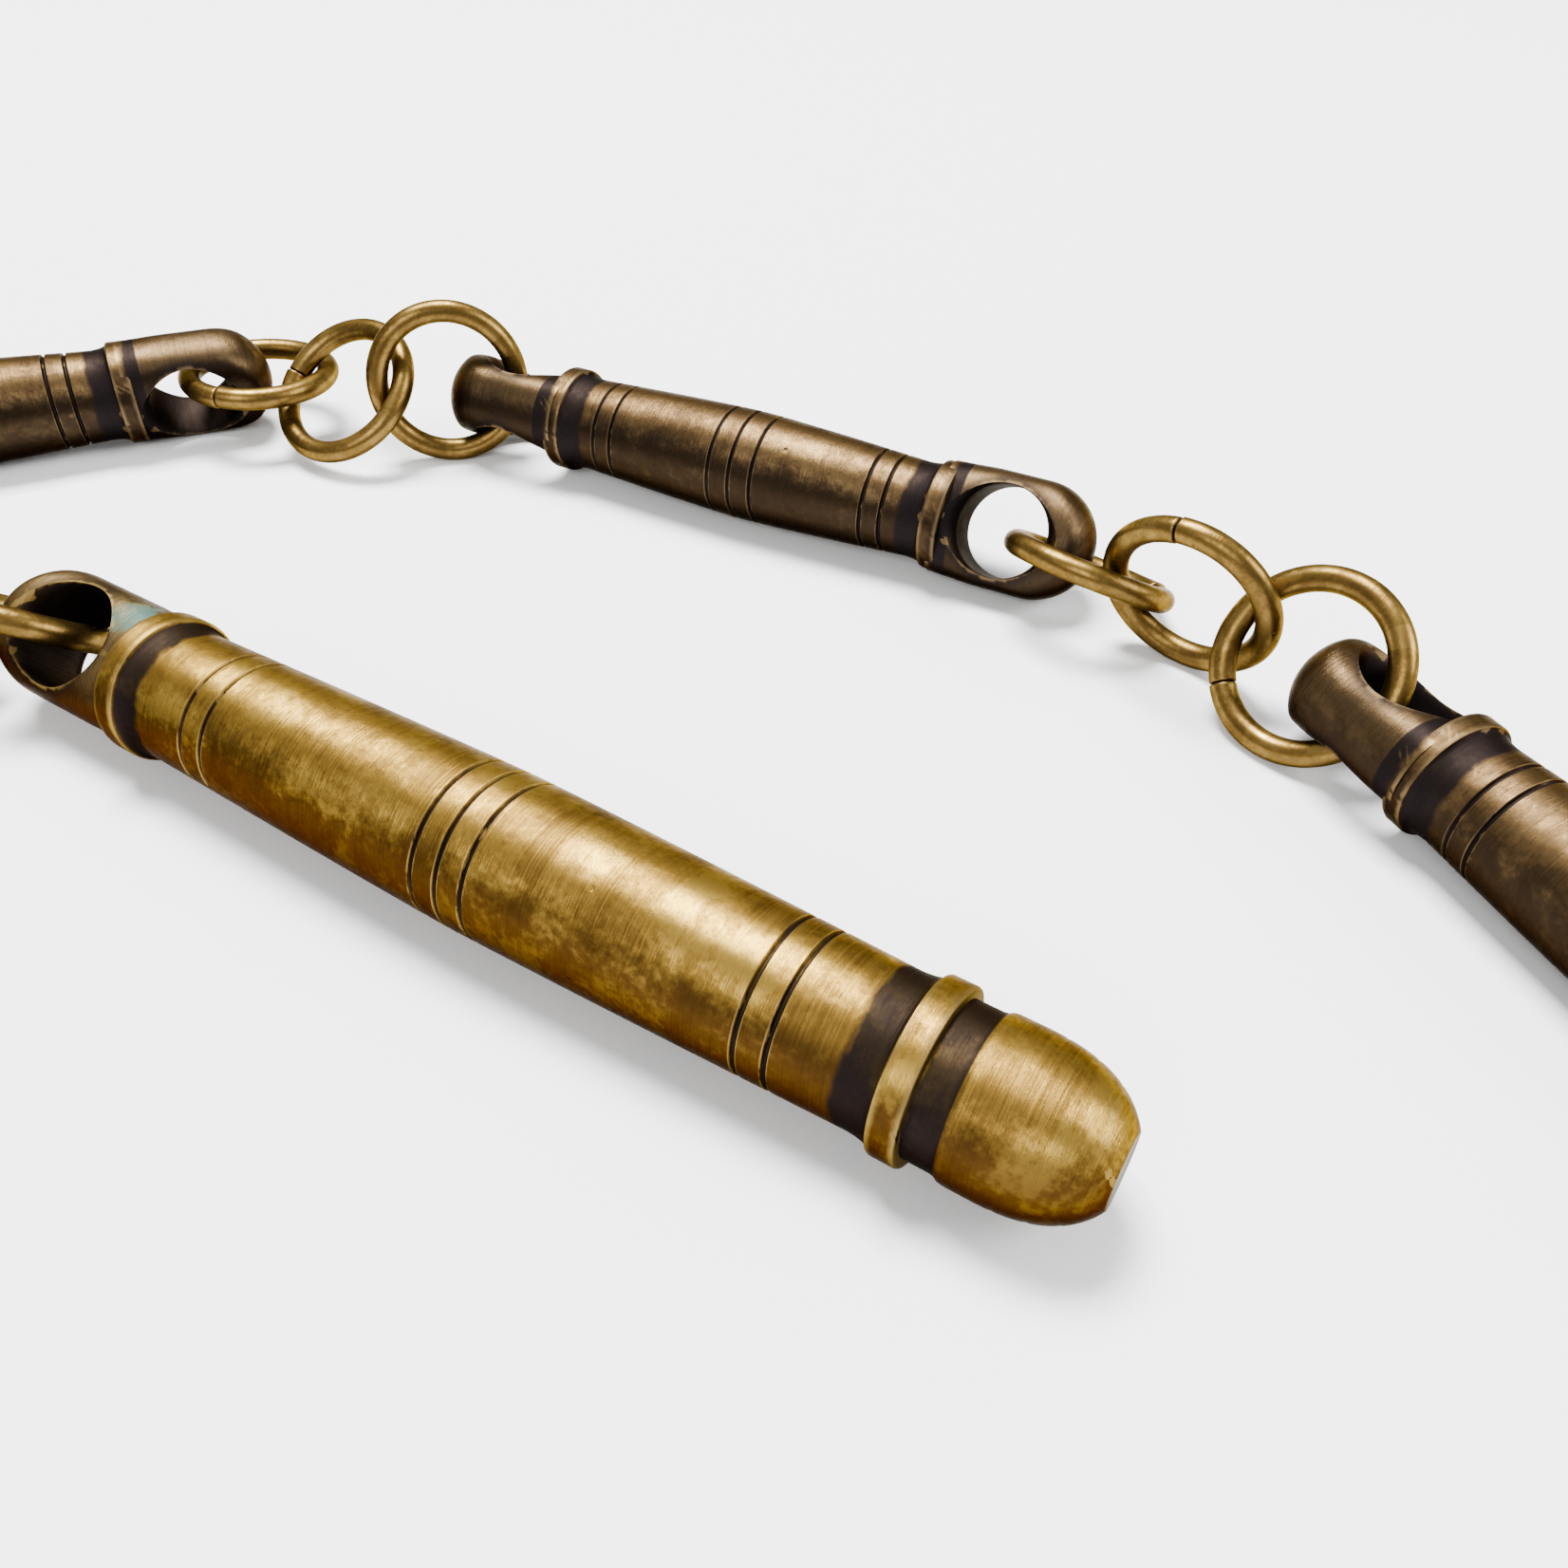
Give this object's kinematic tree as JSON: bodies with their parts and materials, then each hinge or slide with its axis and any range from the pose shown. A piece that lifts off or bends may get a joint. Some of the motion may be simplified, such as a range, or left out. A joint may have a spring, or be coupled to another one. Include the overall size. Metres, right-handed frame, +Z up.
{
  "type": "pocket watch chain",
  "caption": "Pocket watch chain in a loose U: turned antique-brass bars linked by small jump rings, a dome-ended terminal bar at one end and a sprung swivel clasp at the other.",
  "frame": {"origin": "Middle of the outline that the laid-out chain covers, on the table under it", "axes": "+X runs from the closed left turn of the U to the clasp, +Y away from the terminal bar in front to the link bars behind, +Z up from the table"},
  "size_m": [0.1592, 0.0769, 0.0091],
  "materials": {
    "golden_brass": "worn antique patina, golden",
    "brown_brass": "worn antique patina, brown",
    "ring_brass": "satin, lightly toned",
    "clasp_brass": "satin, lightly toned",
    "spring_steel": "plain"
  },
  "bodies": {
    "terminal_bar": {"terminal_bar": "golden_brass"},
    "jump_ring_1": {"jump_ring_1": "ring_brass"},
    "jump_ring_2": {"jump_ring_2": "ring_brass"},
    "jump_ring_3": {"jump_ring_3": "ring_brass"},
    "link_bar_1": {"link_bar_1": "brown_brass"},
    "jump_ring_4": {"jump_ring_4": "ring_brass"},
    "jump_ring_5": {"jump_ring_5": "ring_brass"},
    "jump_ring_6": {"jump_ring_6": "ring_brass"},
    "link_bar_2": {"link_bar_2": "brown_brass"},
    "jump_ring_7": {"jump_ring_7": "ring_brass"},
    "jump_ring_8": {"jump_ring_8": "ring_brass"},
    "jump_ring_9": {"jump_ring_9": "ring_brass"},
    "link_bar_3": {"link_bar_3": "brown_brass"},
    "jump_ring_10": {"jump_ring_10": "ring_brass"},
    "jump_ring_11": {"jump_ring_11": "ring_brass"},
    "jump_ring_12": {"jump_ring_12": "ring_brass"},
    "link_bar_4": {"link_bar_4": "brown_brass"},
    "jump_ring_13": {"jump_ring_13": "ring_brass"},
    "jump_ring_14": {"jump_ring_14": "ring_brass"},
    "jump_ring_15": {"jump_ring_15": "ring_brass"},
    "swivel_eye": {"swivel_eye": "clasp_brass"},
    "clasp": {"clasp_hook": "clasp_brass", "gate_pin": "clasp_brass", "gate_spring": "spring_steel"},
    "gate": {"clasp_gate": "clasp_brass"}
  },
  "joints": [
    {"name": "jump_ring_9_swing", "type": "hinge", "parent": "link_bar_3", "child": "jump_ring_9", "pos_m": [-0.01281, 0.03115, 0.0031], "axis": [0.2192, 0.4494, 0.866], "range_deg": [-60, 60]},
    {"name": "jump_ring_8_swing", "type": "hinge", "parent": "jump_ring_9", "child": "jump_ring_8", "pos_m": [-0.02111, 0.03011, 0.00422], "axis": [0.1209, -0.1512, -0.9811], "range_deg": [-16, 60]},
    {"name": "jump_ring_7_swing", "type": "hinge", "parent": "jump_ring_8", "child": "jump_ring_7", "pos_m": [-0.02698, 0.03299, 0.00335], "axis": [0.2916, 0.7278, 0.6207], "range_deg": [-16, 40]},
    {"name": "link_bar_2_swing", "type": "hinge", "parent": "jump_ring_7", "child": "link_bar_2", "pos_m": [-0.03321, 0.03295, 0.00357], "axis": [0.2209, -0.9743, 0.045], "range_deg": [-40, 60]},
    {"name": "jump_ring_6_swing", "type": "hinge", "parent": "link_bar_2", "child": "jump_ring_6", "pos_m": [-0.06098, 0.02116, 0.0031], "axis": [-0.1207, 0.2845, -0.9511], "range_deg": [-60, 60]},
    {"name": "jump_ring_5_swing", "type": "hinge", "parent": "jump_ring_6", "child": "jump_ring_5", "pos_m": [-0.0689, 0.0207, 0.00406], "axis": [0.0908, 0.2082, -0.9739], "range_deg": [-12, 27]},
    {"name": "jump_ring_4_swing", "type": "hinge", "parent": "jump_ring_5", "child": "jump_ring_4", "pos_m": [-0.07318, 0.0164, 0.0045], "axis": [0.7001, -0.3563, 0.6188], "range_deg": [-60, 47]},
    {"name": "link_bar_1_swing", "type": "hinge", "parent": "jump_ring_4", "child": "link_bar_1", "pos_m": [-0.07479, 0.01052, 0.00331], "axis": [-0.3427, -0.2207, 0.9131], "range_deg": [-60, 22]},
    {"name": "jump_ring_3_swing", "type": "hinge", "parent": "link_bar_1", "child": "jump_ring_3", "pos_m": [-0.04604, 0.00163, 0.0031], "axis": [-0.2696, -0.9403, -0.2079], "range_deg": [-60, 60]},
    {"name": "jump_ring_2_swing", "type": "hinge", "parent": "jump_ring_3", "child": "jump_ring_2", "pos_m": [-0.03911, 0.0036, 0.00257], "axis": [0.7327, -0.6766, 0.0735], "range_deg": [-60, 4]},
    {"name": "jump_ring_1_swing", "type": "hinge", "parent": "jump_ring_2", "child": "jump_ring_1", "pos_m": [-0.03422, 0.00693, 0.00361], "axis": [-0.0686, 0.4592, 0.8857], "range_deg": [-60, 60]},
    {"name": "terminal_bar_swing", "type": "hinge", "parent": "jump_ring_1", "child": "terminal_bar", "pos_m": [-0.02902, 0.00607, 0.00347], "axis": [-0.3728, -0.6586, 0.6536], "range_deg": [-60, 16]},
    {"name": "jump_ring_10_swing", "type": "hinge", "parent": "link_bar_3", "child": "jump_ring_10", "pos_m": [0.01425, 0.01796, 0.0031], "axis": [0.3796, 0.7784, -0.5], "range_deg": [-60, 60]},
    {"name": "jump_ring_11_swing", "type": "hinge", "parent": "jump_ring_10", "child": "jump_ring_11", "pos_m": [0.02027, 0.01186, 0.00329], "axis": [-0.7862, -0.3992, 0.4717], "range_deg": [-22, 16]},
    {"name": "jump_ring_12_swing", "type": "hinge", "parent": "jump_ring_11", "child": "jump_ring_12", "pos_m": [0.0249, 0.00766, 0.00432], "axis": [0.1619, 0.2456, -0.9558], "range_deg": [-60, 40]},
    {"name": "link_bar_4_swing", "type": "hinge", "parent": "jump_ring_12", "child": "link_bar_4", "pos_m": [0.02847, 0.00216, 0.00346], "axis": [-0.5151, -0.219, -0.8287], "range_deg": [-60, 60]},
    {"name": "jump_ring_13_swing", "type": "hinge", "parent": "link_bar_4", "child": "jump_ring_13", "pos_m": [0.04126, -0.02524, 0.0031], "axis": [0.847, 0.3771, -0.3746], "range_deg": [-60, 60]},
    {"name": "jump_ring_14_swing", "type": "hinge", "parent": "jump_ring_13", "child": "jump_ring_14", "pos_m": [0.0465, -0.03176, 0.00225], "axis": [-0.4147, -0.7183, 0.5587], "range_deg": [-60, 34]},
    {"name": "jump_ring_15_swing", "type": "hinge", "parent": "jump_ring_14", "child": "jump_ring_15", "pos_m": [0.05261, -0.0336, 0.00382], "axis": [-0.1085, -0.8293, -0.5482], "range_deg": [-60, 60]},
    {"name": "swivel_eye_swing", "type": "hinge", "parent": "jump_ring_15", "child": "swivel_eye", "pos_m": [0.05839, -0.0339, 0.00176], "axis": [-0.2479, 0.7776, -0.5779], "range_deg": [-4, 22]},
    {"name": "clasp_swivel", "type": "hinge", "parent": "swivel_eye", "child": "clasp", "pos_m": [0.0582, -0.03371, 0.0021], "axis": [1, 0, 0], "continuous": true},
    {"name": "gate_hinge", "type": "hinge", "parent": "clasp", "child": "gate", "pos_m": [0.0674, -0.03726, 0.0021], "axis": [0, 0, 1], "range_deg": [0, 25], "stiffness_Nm_per_rad": 0.002, "springref_deg": -17.19, "deforming": ["gate_spring"]}
  ]
}
